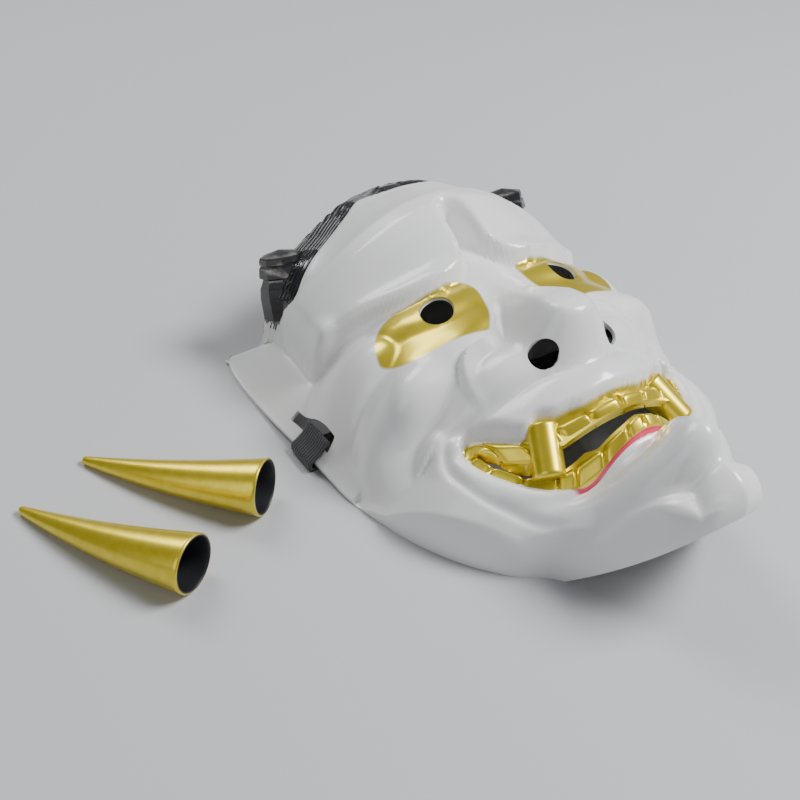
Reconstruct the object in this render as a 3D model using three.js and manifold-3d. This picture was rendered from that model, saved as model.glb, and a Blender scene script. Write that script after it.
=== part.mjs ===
import * as THREE from 'three';
import { mergeVertices } from 'three/addons/utils/BufferGeometryUtils.js';
import Module from 'manifold-3d';

// Millimetres. The mask lies face up: X across the face, Y up towards the forehead,
// Z out of the face. The pupils sit on Y = 0 and the rim rests on Z = 0.
const shellWall = 2.0;
const midHeight = -10;
const acrossSteps = 42;
const upSteps = 48;

const pupilSpacing = 64;
const pupilBore = 13.8;
const pupilAxis = [0.373, -0.19, 0.907];
const nostrilBore = 11.4;
const nostrilAt = [15, -43.5, 58];
const nostrilAxis = [0.34, -0.62, 0.7];

const faceHeight = 58;
const chinRimStart = -98;
const foreheadRound = 0.0085;
const bossAt = [60, 67];
const bossRadii = [10, 11];
const bossHeight = 9;
const foreheadProfile = [
  [4, 64], [20, 68.5], [32, 74], [42, 76.5], [50, 75.5], [58, 72], [70, 67.5], [82, 64], [91, 60.5],
];

const earHeight = 19;
const earSlope = 80;
const earStart = [-34, -26];
const earLift = 2.6;
const earLiftAt = 6;
const earLiftReach = 24;
const earLiftStart = [66, 80];

const hairStep = 1.4;

const stubTop = 18;
const stubBase = 23.5;
const stubSides = 8;
const stubAt = [59.2, 63, 24];
const stubLength = 28;
const stubLean = 25;

const hornBase = 22;
const hornLength = 74;
const hornWall = 1.2;
const hornTip = 3.2;
const hornSides = 16;
const hornRings = 6;
const hornBow = 2.0;
const hornFlare = 0.92;
const hornTips = [[-161.3, 42.2], [-191, 28]];
const hornMouths = [[-113.2, -12.7], [-151.6, -34.8]];

const strapWidth = 15;
const strapThick = 1.2;
const strapAt = 3;
const strapGap = 0.8;
const strapTail = 58;
const slotLength = 26;
const slotWidth = 3.4;
const slotAt = [80.9, 8];
const slotTurn = 3.6;

// Outlines are given for one half, as [distance from the middle, height up the face].
const rimLine = [
  [0, 91], [20, 90.5], [34, 88.5], [48, 85], [58, 82], [66, 77.5], [71, 71], [76, 73],
  [82.5, 75], [86, 68], [87.5, 55], [87.5, 37], [87, 12], [85, -12], [83.5, -26],
  [79, -42], [74, -56], [65, -72], [53, -86], [40, -95], [31, -107], [25, -117],
  [20, -125], [11.5, -131.5], [0, -134],
];
const coreLine = [
  [0, 91], [20, 90.5], [34, 88.5], [48, 85], [58, 82], [65, 77], [68.5, 70], [69, 60],
  [69, 45], [70, 30], [71.5, 15], [73.5, 0], [77, -14], [80, -27], [79, -42], [74, -56],
  [65, -72], [53, -86], [40, -95], [31, -107], [25, -117], [20, -125], [11.5, -131.5],
  [0, -134],
];
const browLine = [
  [-1, 38], [2.4, 28], [5.5, 19], [10.5, 12], [22, 8.6], [34, 11], [45, 16],
  [54, 21], [61, 24], [70, 26],
];
const hairLine = [
  [-5, 73.5], [5, 73.5], [12, 75], [19, 77.5], [23, 76], [28, 72.5], [38, 67.5], [45, 64.5],
  [51, 60.8], [58, 56.5],
  [64.2, 53], [68.7, 58], [77, 66],
];
const cheekFold = [
  [18, -22.5], [26, -22.5], [32, -22], [37.8, -24.8], [40.8, -30.2], [42.3, -36.6], [41.6, -44],
  [40, -47],
];
const noseBase = [[-8, -54.6], [0, -54.8], [10, -53.2], [17.4, -50.2], [27.3, -48.2], [38, -46]];
const lipCrease = [
  [39.8, -46.5], [46, -44.5], [53.5, -41.8], [57.5, -46.9], [58.9, -52.5], [58.1, -60],
  [54.8, -69.6], [48.6, -78.6], [41.7, -87.2], [34.8, -93.4], [28, -98],
];
const gumLine = [
  [-5, -66.7], [5, -66.7], [13, -66.3], [18, -64.8], [23.5, -63.5], [29, -60], [34, -61],
  [38, -56.7], [41, -51.8], [45, -46.8], [48, -45.2], [51, -47], [51.7, -51.5],
  [51.2, -56.2], [48.6, -62.5], [45.1, -68], [39.7, -75.1], [32.8, -80.6], [27, -85.7],
  [22.8, -87.5], [16.9, -87.2], [7, -86.5], [-5, -86],
];
// Crests carry the height of their top as a third number.
const browCrest = [
  [11, 13, 65.5], [24, 12, 64.5], [35, 15, 60.5], [45, 20, 55], [54, 24, 49], [60, 27, 42],
];
const lowerLip = [
  [-6, -107.5, 66], [0, -108, 68], [6, -106.5, 64.5], [12, -103, 56], [18, -98, 46],
  [24, -93, 35], [31, -88, 28.5], [40, -80, 26], [48, -71, 24.5], [53.6, -60.5, 25],
  [55.4, -51, 28], [53, -45, 32], [49, -41.5, 35],
];
const upperLip = [
  [-6, -60, 57.5], [0, -60, 57.5], [8, -59, 55.5], [16, -57.5, 51], [26, -54.5, 46.5],
  [33, -52.5, 43], [40, -45, 40], [47, -39.5, 37], [53, -40, 33],
];
const noseProfile = [[-38, 75], [-30, 73], [-18, 67], [-8, 61.5], [2, 57.5], [14, 59]];
const noseTip = { at: -38, flat: 6, round: 5, slope: 1.65, shorten: 1.22 };
const bridge = { flat: 1.5, slope: 1 };
const chinCrest = [[-6, -122, 59], [0, -122, 60], [7, -122, 56], [12, -121, 50]];
const eyeCrest = [[15, 2.5, 57.5], [29, 2, 56.5], [42, 4, 50.5], [50, 3, 44.5]];

// The see-through mouth, between the cutting edges of the two rows of teeth.
const upperEdge = [
  [0, -75], [4.5, -74.5], [10.5, -74], [17, -73.5], [26, -73], [33, -71.5], [39, -67.3],
  [42.2, -62.2], [44.5, -56.7], [47.2, -51.5],
];
const lowerEdge = [
  [47.6, -53], [46.2, -57], [44.4, -61], [42, -65.2], [38.3, -69.6], [33.5, -74], [25, -76.6],
  [18.7, -77.4], [16.1, -80.2], [12.2, -80.1], [6.2, -80.3], [0, -79.5],
];
// Gaps between teeth, as shares of the way from the middle to the corner of the mouth.
const upperGaps = [0, 0.205, 0.4, 0.6, 0.805, 1];
const lowerGaps = [0, 0.1, 0.245, 0.4, 0.49, 0.68, 0.87, 1];
const toothGap = 0.7;
const toothProud = 1.4;
const toothSink = 2.2;
const fangTop = [26, -60.5, 41];
const fangTip = [33, -76.5, 31];
const fangWidth = 13.2;

const toRadians = Math.PI / 180;

const clamp01 = (value) => Math.min(1, Math.max(0, value));

const easeBetween = (from, to, value) => {
  const share = clamp01((value - from) / (to - from));
  return share * share * (3 - 2 * share);
};

const softMax = (one, two, blend) => {
  const share = clamp01(0.5 + 0.5 * (one - two) / blend);
  return two + (one - two) * share + blend * share * (1 - share);
};

const softMin = (one, two, blend) => -softMax(-one, -two, blend);

const smoothLine = (points, perSpan) => {
  const line = [];
  const last = points.length - 1;
  for (let i = 0; i < last; i += 1) {
    const [before, from, to, after] = [
      points[Math.max(i - 1, 0)], points[i], points[i + 1], points[Math.min(i + 2, last)],
    ];
    for (let j = 0; j < perSpan; j += 1) {
      const t = j / perSpan;
      line.push(from.map((value, k) => 0.5 * (
        2 * value + (to[k] - before[k]) * t
        + (2 * before[k] - 5 * value + 4 * to[k] - after[k]) * t * t
        + (3 * value - before[k] - 3 * to[k] + after[k]) * t * t * t)));
    }
  }
  line.push(points[last]);
  return line;
};

const lineSteps = 5;
const lines = Object.fromEntries(Object.entries({
  rimLine, coreLine, browLine, hairLine, cheekFold, gumLine, browCrest, lowerLip, upperLip,
  chinCrest, eyeCrest, lipCrease, noseBase,
}).map(([name, points]) => [name, smoothLine(points, lineSteps)]));

const polarTable = (line) => line
  .map(([across, up]) => [Math.atan2(up - midHeight, across), Math.hypot(across, up - midHeight)])
  .sort((one, two) => one[0] - two[0]);

const rimTable = polarTable(lines.rimLine);
const coreTable = polarTable(lines.coreLine);

const lookUp = (table, key) => {
  if (key <= table[0][0]) return table[0][1];
  for (let i = 1; i < table.length; i += 1) {
    if (key <= table[i][0]) {
      const share = (key - table[i - 1][0]) / (table[i][0] - table[i - 1][0] || 1);
      return table[i - 1][1] + share * (table[i][1] - table[i - 1][1]);
    }
  }
  return table[table.length - 1][1];
};

// Distance to a line, the side of it (+1 is left of travel), the share run along it and
// the crest height there.
const nearest = (across, up, line) => {
  const found = { distance: Infinity, side: 1, share: 0, height: 0 };
  let run = 0;
  for (let i = 1; i < line.length; i += 1) {
    const [fromX, fromY, fromZ = 0] = line[i - 1];
    const [toX, toY, toZ = 0] = line[i];
    const [dx, dy] = [toX - fromX, toY - fromY];
    const length = Math.hypot(dx, dy);
    const t = clamp01(((across - fromX) * dx + (up - fromY) * dy) / (length * length));
    const distance = Math.hypot(across - fromX - t * dx, up - fromY - t * dy);
    if (distance < found.distance - 1e-6) {
      found.distance = distance;
      found.side = Math.sign(dx * (up - fromY) - dy * (across - fromX)) || 1;
      found.share = run + t * length;
      found.height = fromZ + t * (toZ - fromZ);
    }
    run += length;
  }
  found.share /= run;
  return found;
};

const crest = (across, up, line, leftReach, rightReach) => {
  const { distance, side, height } = nearest(across, up, line);
  const reach = side > 0 ? leftReach : rightReach;
  return height - 0.5 * distance * distance / reach;
};

// A raised oval with a round top; outside the oval it keeps falling.
const oval = (across, up, at, radii, foot, height) => {
  const reach = Math.hypot((across - at[0]) / radii[0], (up - at[1]) / radii[1]);
  const knee = 0.9;
  if (reach < knee) return foot + height * Math.sqrt(1 - reach * reach);
  const kneeHeight = Math.sqrt(1 - knee * knee);
  return foot + height * (kneeHeight - (reach - knee) * knee / kneeHeight);
};

// A soft mound, 1 at its middle, turned by a number of degrees.
const mound = (across, up, at, radii, turn = 0) => {
  const [c, s] = [Math.cos(turn * toRadians), Math.sin(turn * toRadians)];
  const u = ((across - at[0]) * c + (up - at[1]) * s) / radii[0];
  const v = (-(across - at[0]) * s + (up - at[1]) * c) / radii[1];
  return Math.exp(-(u * u + v * v));
};

const rimHeight = (across, up) => {
  const past = Math.max(0, chinRimStart - up);
  const lift = earLift * easeBetween(...earLiftStart, across)
    * Math.exp(-(((up - earLiftAt) / earLiftReach) ** 2));
  return 0.9 * past + 0.011 * past * past + lift;
};

const rimRadius = (angle) => lookUp(rimTable, angle);

const rimShare = (across, up) => Math.hypot(across, up - midHeight)
  / rimRadius(Math.atan2(up - midHeight, across));

const earSurface = (across, up, share, rim) => {
  const slope = (1 - share) * earSlope + 1 + rim * easeBetween(-90, -80, up);
  const present = easeBetween(...earStart, up);
  return softMin(slope, earHeight, 8) * present - 30 * (1 - present);
};

const foreheadSurface = (across, up, share, degrees) => {
  let height = lookUp(foreheadProfile, up) - foreheadRound * across ** 2
    + bossHeight * mound(across, up, bossAt, bossRadii);
  height = softMax(height, crest(across, up, lines.browCrest, 16, 16), 4);
  const power = 2.6 + 60 * easeBetween(12, 50, degrees);
  const fall = Math.sqrt(Math.max(0, 1 - share ** power));
  return softMin(height, height * fall, 3);
};

// The nose is a rounded roof along the middle with a blunt tip, on two broad wings.
const noseSurface = (across, up) => {
  const blunt = easeBetween(4, -32, up);
  const past = noseTip.shorten * Math.max(0, noseTip.at - up);
  const flat = bridge.flat + (noseTip.flat - bridge.flat) * blunt;
  const slope = bridge.slope + (noseTip.slope - bridge.slope) * blunt;
  const beside = Math.max(0, Math.hypot(across, past) - flat);
  const ridge = lookUp(noseProfile, up) + noseTip.round - Math.hypot(noseTip.round, slope * beside);
  const wings = oval(across, up, [0, -36], [44, 21], 38, 23.5)
    - 2 * mound(across, up, [22, -20], [6.5, 14]);
  return softMax(ridge, wings, 4);
};

const mouthMiddle = [
  [0, -77.5], [8, -77.5], [16, -77], [25, -75], [35, -69], [44, -59], [52, -49],
];

const lowerTeeth = (across) => 28 + 22 * (1 - easeBetween(0, 36, across));

const teethSurface = (across, up) => {
  const upper = 50 - 9 * (across / 27) ** 1.5;
  const lower = lowerTeeth(across);
  return lower + (upper - lower) * easeBetween(-1, 1, up - lookUp(mouthMiddle, across));
};

const faceSurface = (x, up) => {
  const across = Math.abs(x);
  const angle = Math.atan2(up - midHeight, across);
  const degrees = angle / toRadians;
  const fromMiddle = Math.hypot(across, up - midHeight);
  const outer = fromMiddle / rimRadius(angle);
  const share = Math.min(1, fromMiddle / lookUp(coreTable, angle));
  const rim = rimHeight(across, up);

  const lower = easeBetween(-8, -25, degrees);
  const flank = 0.5 + 0.35 * easeBetween(0, -24, degrees) * easeBetween(-86, -62, degrees);
  let z = rim + (faceHeight - 0.62 * rim) * Math.max(0, 1 - share ** (2.6 - 0.4 * lower)) ** flank;
  z -= 3 * mound(across, up, [54, 10], [12, 9], -30);
  z = softMax(z, oval(across, up, [51, -21], [17, 13], 26, 21.5), 7);
  z -= 5 * mound(across, up, [56, -42], [9, 12], 20);
  z -= 3 * mound(across, up, [64, -52], [8, 14], 20);

  const eye = nearest(across, up, lines.eyeCrest);
  z = softMax(z, eye.height + 1.5 - 0.036 * eye.distance ** 2, 1.5);

  const fold = nearest(across, up, lines.cheekFold);
  const folded = easeBetween(0, 0.2, fold.share) * easeBetween(1, 0.85, fold.share);
  const inward = -fold.distance * fold.side;
  const bulge = 4.2 * Math.exp(-((fold.distance / 10) ** 2)) * easeBetween(-0.7, 0.9, inward);
  const rimBeside = 1.2 * easeBetween(0.5, -2.5, inward) * Math.exp(-((fold.distance / 6) ** 2));
  z += (bulge + rimBeside) * folded;
  z = softMax(z, noseSurface(across, up), 1.5 + 4 * easeBetween(-26, -8, up));

  const muzzle = 58.5 - 13.5 * (across / 36) ** 1.7 - 0.02 * (up + 54) ** 2;
  z = softMax(z, muzzle, 1.2);
  const under = nearest(across, up, lines.noseBase);
  z -= 1.1 * Math.exp(-((under.distance / 1.5) ** 2)) * easeBetween(1, 0.7, under.share);
  z = softMax(z, crest(across, up, lines.upperLip, 6, 4), 2);
  z = softMax(z, crest(across, up, lines.lowerLip, 11, 5), 2);
  const crease = nearest(across, up, lines.lipCrease);
  z -= 1.7 * Math.exp(-((crease.distance / 1.7) ** 2))
    * easeBetween(0, 0.08, crease.share) * easeBetween(1, 0.75, crease.share);
  z = softMax(z, crest(across, up, lines.chinCrest, 12, 12), 5);

  const gum = nearest(across, up, lines.gumLine);
  const lipTop = lowerTeeth(across) + 1.6 - 0.1 * (Math.min(gum.distance, 7) - 3.5) ** 2
    + 1.1 * Math.max(0, gum.distance - 7);
  const lowLip = easeBetween(20, 31, across) * easeBetween(1, -1, up - lookUp(mouthMiddle, across));
  z += (softMin(z, lipTop, 2) - z) * lowLip;
  z += (teethSurface(across, up) - z) * easeBetween(-1.5, 1.5, -gum.distance * gum.side);

  const brow = nearest(across, up, lines.browLine);
  const forehead = softMax(foreheadSurface(across, up, share, degrees), z, 3);
  const fade = 1 + 1.6 * easeBetween(0.2, 0, brow.share);
  z += (forehead - z) * easeBetween(-1.3 * fade, 3.3 * fade, brow.distance * brow.side);
  const hair = nearest(across, up, lines.hairLine);
  z -= hairStep * easeBetween(-0.8, 0.8, hair.distance * hair.side);

  z = softMax(z, earSurface(across, up, outer, rim), 3);
  const upright = easeBetween(-30, 15, degrees);
  const wallTop = rim + (44 + 56 * upright)
    * Math.sqrt(Math.max(0, 1 - outer ** (4 + 14 * upright)))
    + 130 * (1 - upright) * Math.max(0, 1 - outer);
  return Math.max(softMin(z, wallTop, 4), rim);
};

const wasm = await Module();
wasm.setup();

const solidFrom = (positions, triangles) => {
  const shape = new THREE.BufferGeometry();
  shape.setAttribute('position', new THREE.Float32BufferAttribute(positions, 3));
  shape.setIndex(triangles);
  const merged = mergeVertices(shape, 1e-4);
  const kept = [];
  const index = merged.index.array;
  for (let i = 0; i < index.length; i += 3) {
    const [a, b, c] = [index[i], index[i + 1], index[i + 2]];
    if (a !== b && b !== c && c !== a) kept.push(a, b, c);
  }
  return new wasm.Manifold(new wasm.Mesh({
    numProp: 3,
    vertProperties: Float32Array.from(merged.attributes.position.array),
    triVerts: Uint32Array.from(kept),
  }));
};

const solidOf = (shape) => {
  const bare = shape.clone();
  bare.deleteAttribute('normal');
  bare.deleteAttribute('uv');
  const index = bare.index ?? [...Array(bare.attributes.position.count).keys()];
  return solidFrom([...bare.attributes.position.array], [...(index.array ?? index)]);
};

const shapeOf = (solid) => {
  const mesh = solid.getMesh();
  const shape = new THREE.BufferGeometry();
  const points = new Float32Array(mesh.numVert * 3);
  for (let i = 0; i < mesh.numVert; i += 1) {
    for (let k = 0; k < 3; k += 1) points[3 * i + k] = mesh.vertProperties[mesh.numProp * i + k];
  }
  shape.setAttribute('position', new THREE.BufferAttribute(points, 3));
  shape.setIndex([...mesh.triVerts]);
  shape.computeVertexNormals();
  return shape;
};

// A dish over the rim outline: a square grid bent round to the outline, closed below.
// The grid is given as rows of [x, y, top] and the floor as a height for each border place.
const dish = (grid, bottomAt) => {
  const [across, upward] = [grid.length - 1, grid[0].length - 1];
  const positions = grid.flat(2);
  const triangles = [];
  const id = (i, j) => i * (upward + 1) + j;
  const border = [];
  for (let i = 0; i < across; i += 1) {
    for (let j = 0; j < upward; j += 1) {
      const [a, b, c, d] = [id(i, j), id(i + 1, j), id(i + 1, j + 1), id(i, j + 1)];
      if ((2 * i < across) === (2 * j < upward)) triangles.push(a, b, c, a, c, d);
      else triangles.push(a, b, d, b, c, d);
    }
  }
  for (let i = 0; i < across; i += 1) border.push(id(i, 0));
  for (let j = 0; j < upward; j += 1) border.push(id(across, j));
  for (let i = across; i > 0; i -= 1) border.push(id(i, upward));
  for (let j = upward; j > 0; j -= 1) border.push(id(0, j));
  const low = border.map((vertex) => {
    const [x, y] = [positions[3 * vertex], positions[3 * vertex + 1]];
    positions.push(x, y, bottomAt(x, y));
    return positions.length / 3 - 1;
  });
  positions.push(0, midHeight, bottomAt(0, midHeight));
  const hub = positions.length / 3 - 1;
  border.forEach((vertex, k) => {
    const next = (k + 1) % border.length;
    triangles.push(vertex, low[k], low[next], vertex, low[next], border[next]);
    triangles.push(low[next], low[k], hub);
  });
  return solidFrom(positions, triangles);
};

// Outer face, finely divided towards the rim.
const outerGrid = () => {
  const grid = [];
  for (let i = 0; i <= acrossSteps; i += 1) {
    const row = [];
    for (let j = 0; j <= upSteps; j += 1) {
      const [s, t] = [2 * i / acrossSteps - 1, 2 * j / upSteps - 1];
      const [u, v] = [s * Math.sqrt(1 - t * t / 2), t * Math.sqrt(1 - s * s / 2)];
      const angle = Math.atan2(v, u);
      const edge = rimRadius(Math.atan2(Math.sin(angle), Math.abs(Math.cos(angle))));
      const reach = Math.sin(Math.min(1, Math.hypot(u, v)) * Math.PI / 2) * edge;
      const [x, y] = [reach * Math.cos(angle), midHeight + reach * Math.sin(angle)];
      row.push([x, y, faceSurface(x, y)]);
    }
    grid.push(row);
  }
  return grid;
};

// Inner face: every second place of the outer one, a wall below the lowest place beside it.
const innerGrid = (grid) => {
  const inner = [];
  for (let i = 0; i <= acrossSteps; i += 2) {
    const row = [];
    for (let j = 0; j <= upSteps; j += 2) {
      const beside = grid.slice(Math.max(0, i - 1), i + 2)
        .flatMap((line) => line.slice(Math.max(0, j - 1), j + 2));
      const [x, y] = grid[i][j];
      const fromMiddle = Math.hypot(x, y - midHeight);
      const edge = rimRadius(Math.atan2(y - midHeight, Math.abs(x)));
      const keep = 1 - shellWall / edge * (fromMiddle / edge) ** 4;
      row.push([x * keep, midHeight + (y - midHeight) * keep,
        Math.min(...beside.map((point) => point[2])) - shellWall]);
    }
    inner.push(row);
  }
  return inner;
};

// Joining leaves tiny sealed pockets; only the piece itself is kept.
const withoutPockets = (solid) => solid.decompose()
  .reduce((largest, piece) => (piece.volume() > largest.volume() ? piece : largest));

const place = (shape, at, along) => {
  const turn = new THREE.Quaternion().setFromUnitVectors(
    new THREE.Vector3(0, 1, 0), new THREE.Vector3(...along).normalize());
  shape.applyQuaternion(turn);
  shape.translate(...at);
  return solidOf(shape);
};

const boreAlong = (at, axis, bore, length) => place(
  new THREE.CylinderGeometry(bore / 2, bore / 2, length, 18), at, axis);

const prism = (outline, low, high) => {
  const shape = new THREE.ExtrudeGeometry(
    new THREE.Shape(outline.map(([x, y]) => new THREE.Vector2(x, y))),
    { depth: high - low, bevelEnabled: false });
  shape.translate(0, 0, low);
  return solidOf(shape);
};

const block = (corners) => {
  // Eight corners: four of the lower face, then the four above them, both anticlockwise.
  const faces = [
    [0, 2, 1], [0, 3, 2], [4, 5, 6], [4, 6, 7], [0, 1, 5], [0, 5, 4], [1, 2, 6], [1, 6, 5],
    [2, 3, 7], [2, 7, 6], [3, 0, 4], [3, 4, 7],
  ];
  return solidFrom(corners.flat(), faces.flat());
};

const mirror = ([x, y, z], side) => [side * x, y, z];

// One tooth: a block over the plan quad between two gaps, its face proud of the gum.
const tooth = (quad, surfaceAt) => {
  const [x, y] = [0, 1].map((k) => quad.reduce((sum, point) => sum + point[k], 0) / quad.length);
  const inset = quad.map(([px, py]) => {
    const length = Math.hypot(px - x, py - y);
    const keep = 1 - toothGap / length;
    return [x + (px - x) * keep, y + (py - y) * keep];
  });
  const low = inset.map(([px, py]) => [px, py, surfaceAt(Math.abs(px), py) - toothSink]);
  const high = inset.map(([px, py]) => [px, py, surfaceAt(Math.abs(px), py) + toothProud]);
  return block([...low, ...high]);
};

// The place a share of the way along a line.
const alongLine = (line, share) => {
  const lengths = line.slice(1).map((point, i) => Math.hypot(point[0] - line[i][0], point[1] - line[i][1]));
  let left = share * lengths.reduce((sum, length) => sum + length, 0);
  for (let i = 0; i < lengths.length; i += 1) {
    if (left <= lengths[i] || i === lengths.length - 1) {
      const part = left / lengths[i];
      return [0, 1].map((k) => line[i][k] + part * (line[i + 1][k] - line[i][k]));
    }
    left -= lengths[i];
  }
  return line[0];
};

const buildTeeth = () => {
  const turnAt = lines.gumLine.reduce((best, point, i) => (point[0] > lines.gumLine[best][0] ? i : best), 0);
  const upperGum = lines.gumLine.slice(0, turnAt + 1).filter(([across]) => across >= 0);
  const lowerGum = lines.gumLine.slice(turnAt).filter(([across]) => across >= 0).reverse();
  const rows = [
    { gaps: upperGaps, top: upperGum, foot: upperEdge },
    { gaps: lowerGaps, top: [...lowerEdge].reverse(), foot: lowerGum },
  ];
  const teeth = [];
  for (const { gaps, top, foot } of rows) {
    for (let i = 1; i < gaps.length; i += 1) {
      const [near, far] = [gaps[i - 1], gaps[i]];
      const quad = [alongLine(foot, near), alongLine(foot, far), alongLine(top, far), alongLine(top, near)];
      teeth.push(tooth(quad, teethSurface));
      teeth.push(tooth(quad.map(([x, y]) => [-x, y]).reverse(), teethSurface));
    }
  }
  for (const side of [-1, 1]) {
    const [top, tip] = [mirror(fangTop, side), mirror(fangTip, side)];
    const along = top.map((value, k) => value - tip[k]);
    const middle = top.map((value, k) => (value + tip[k]) / 2);
    const fang = new THREE.CylinderGeometry(fangWidth / 2, fangWidth / 2, Math.hypot(...along), 12);
    teeth.push(place(fang, middle, along));
  }
  return teeth;
};

const buildShell = () => {
  const grid = outerGrid();
  const underRim = 12;
  const cavity = dish(innerGrid(grid), (x, y) => rimHeight(Math.abs(x), y) - underRim);
  let shell = dish(grid, (x, y) => rimHeight(Math.abs(x), y) - 1e-3);
  for (const side of [-1, 1]) {
    const lean = stubLean * toRadians;
    const axis = [0, Math.sin(lean), Math.cos(lean)];
    const stub = new THREE.CylinderGeometry(stubTop / 2, stubBase / 2, stubLength, stubSides);
    const middle = mirror(stubAt, side).map((value, k) => value + axis[k] * stubLength / 2);
    shell = shell.add(place(stub, middle, axis));
  }
  shell = shell.subtract(cavity);
  for (const side of [-1, 1]) {
    const pupil = [side * pupilSpacing / 2, 0];
    shell = shell.subtract(boreAlong(
      [...pupil, faceSurface(...pupil)], mirror(pupilAxis, side), pupilBore, 24));
    shell = shell.subtract(boreAlong(
      mirror(nostrilAt, side), mirror(nostrilAxis, side), nostrilBore, 22));
    const slotCorners = [[-1, -1], [1, -1], [1, 1], [-1, 1]].map(([u, v]) => {
      const [w, l] = [u * slotWidth / 2, v * slotLength / 2];
      const turn = slotTurn * toRadians;
      const across = slotAt[0] + w * Math.cos(turn) + l * Math.sin(turn);
      return [side * across, slotAt[1] - w * Math.sin(turn) + l * Math.cos(turn)];
    });
    shell = shell.subtract(prism(side > 0 ? slotCorners : slotCorners.reverse(), -5, 40));
  }
  const half = [...upperEdge, ...lowerEdge];
  const mirrored = half.map(([a, b]) => [-a, b]).reverse();
  const mouth = [...half, ...mirrored.slice(1, -1)];
  shell = shell.subtract(prism(mouth.reverse(), 10, 90));
  return withoutPockets(buildTeeth().reduce((whole, piece) => whole.add(piece), shell));
};

// A hollow cone lying on its side: rings round an axis that rises with the taper.
const buildHorn = (tipAt, mouthAt) => {
  const flat = [mouthAt[0] - tipAt[0], mouthAt[1] - tipAt[1]];
  const run = Math.hypot(...flat);
  const [dx, dy] = flat.map((value) => value / run);
  const [tipRadius, mouthRadius] = [hornTip / 2, hornBase / 2];
  const rise = Math.asin((mouthRadius - tipRadius) / hornLength);
  const along = [dx * Math.cos(rise), dy * Math.cos(rise), Math.sin(rise)];
  const up = [-dx * Math.sin(rise), -dy * Math.sin(rise), Math.cos(rise)];
  const side = [dy, -dx, 0];
  const radiusAt = (t) => tipRadius + (mouthRadius - tipRadius) * t ** hornFlare;
  const centreAt = (t) => [0, 1, 2].map((k) => (k < 2 ? tipAt[k] : 0) + up[k] * tipRadius
    + along[k] * hornLength * t + side[k] * hornBow * (1 - (2 * t - 1) ** 2));
  const positions = [];
  const triangles = [];
  const addRing = (t, radius) => {
    const centre = centreAt(t);
    const first = positions.length / 3;
    for (let i = 0; i < hornSides; i += 1) {
      const turn = 2 * Math.PI * i / hornSides;
      positions.push(...centre.map((value, k) => value
        + radius * (Math.cos(turn) * up[k] + Math.sin(turn) * side[k])));
    }
    return first;
  };
  const join = (one, two) => {
    for (let i = 0; i < hornSides; i += 1) {
      const j = (i + 1) % hornSides;
      triangles.push(one + i, two + j, two + i, one + i, one + j, two + j);
    }
  };
  const cap = (t, ring, outward) => {
    positions.push(...centreAt(t));
    const hub = positions.length / 3 - 1;
    for (let i = 0; i < hornSides; i += 1) {
      const j = (i + 1) % hornSides;
      triangles.push(...(outward ? [hub, ring + j, ring + i] : [hub, ring + i, ring + j]));
    }
  };
  const shares = Array.from({ length: hornRings }, (_, i) => i / (hornRings - 1));
  const outer = shares.map((t) => addRing(t, radiusAt(t)));
  const tipRing = addRing(0, tipRadius * 0.6);
  const innerShares = shares.filter((t) => radiusAt(t) > 2.5 * hornWall);
  const inner = innerShares.map((t) => addRing(t, radiusAt(t) - hornWall));
  for (let i = 1; i < outer.length; i += 1) join(outer[i - 1], outer[i]);
  for (let i = 1; i < inner.length; i += 1) join(inner[i], inner[i - 1]);
  join(outer[outer.length - 1], inner[inner.length - 1]);
  join(tipRing, outer[0]);
  cap(-0.008, tipRing, true);
  cap(innerShares[0], inner[0], false);
  return solidFrom(positions, triangles);
};

// The elastic turns up round the ear's edge, over it and down through the slot. The run
// between the ears lies on the floor and the sewn tails lie on top of that run.
const strapPath = () => {
  const half = strapWidth / 2;
  const widths = [-1, -0.5, 0, 0.5, 1].map((share) => strapAt + share * half);
  const earTop = (across) => Math.max(...widths.map((up) => (
    rimShare(across, up) < 1 ? faceSurface(across, up) : 0)));
  const edge = Math.max(...widths.map((up) => {
    const angle = Math.atan2(up - midHeight, slotAt[0]);
    return rimRadius(angle) * Math.cos(angle);
  }));
  const clear = strapGap + strapThick / 2;
  const floorRun = 0.1 + strapThick / 2;
  const tailRun = floorRun + strapThick + 0.35;
  const slotInside = slotAt[0] - 0.1;
  const back = [1.4, 3, 4.6].map((share) => edge - share);
  return [
    [edge - 2, floorRun], [edge + clear - 0.5, floorRun + 0.35], [edge + clear + 0.1, floorRun + 1.6],
    [edge + clear - 0.2, earTop(back[0]) - 0.6],
    ...back.map((across) => [across, earTop(across) + clear + 0.1]),
    [slotInside, earTop(slotInside) + 0.2], [slotInside - 0.4, tailRun + 1.8],
    [slotInside - 2, tailRun], [strapTail, tailRun],
  ];
};

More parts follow.
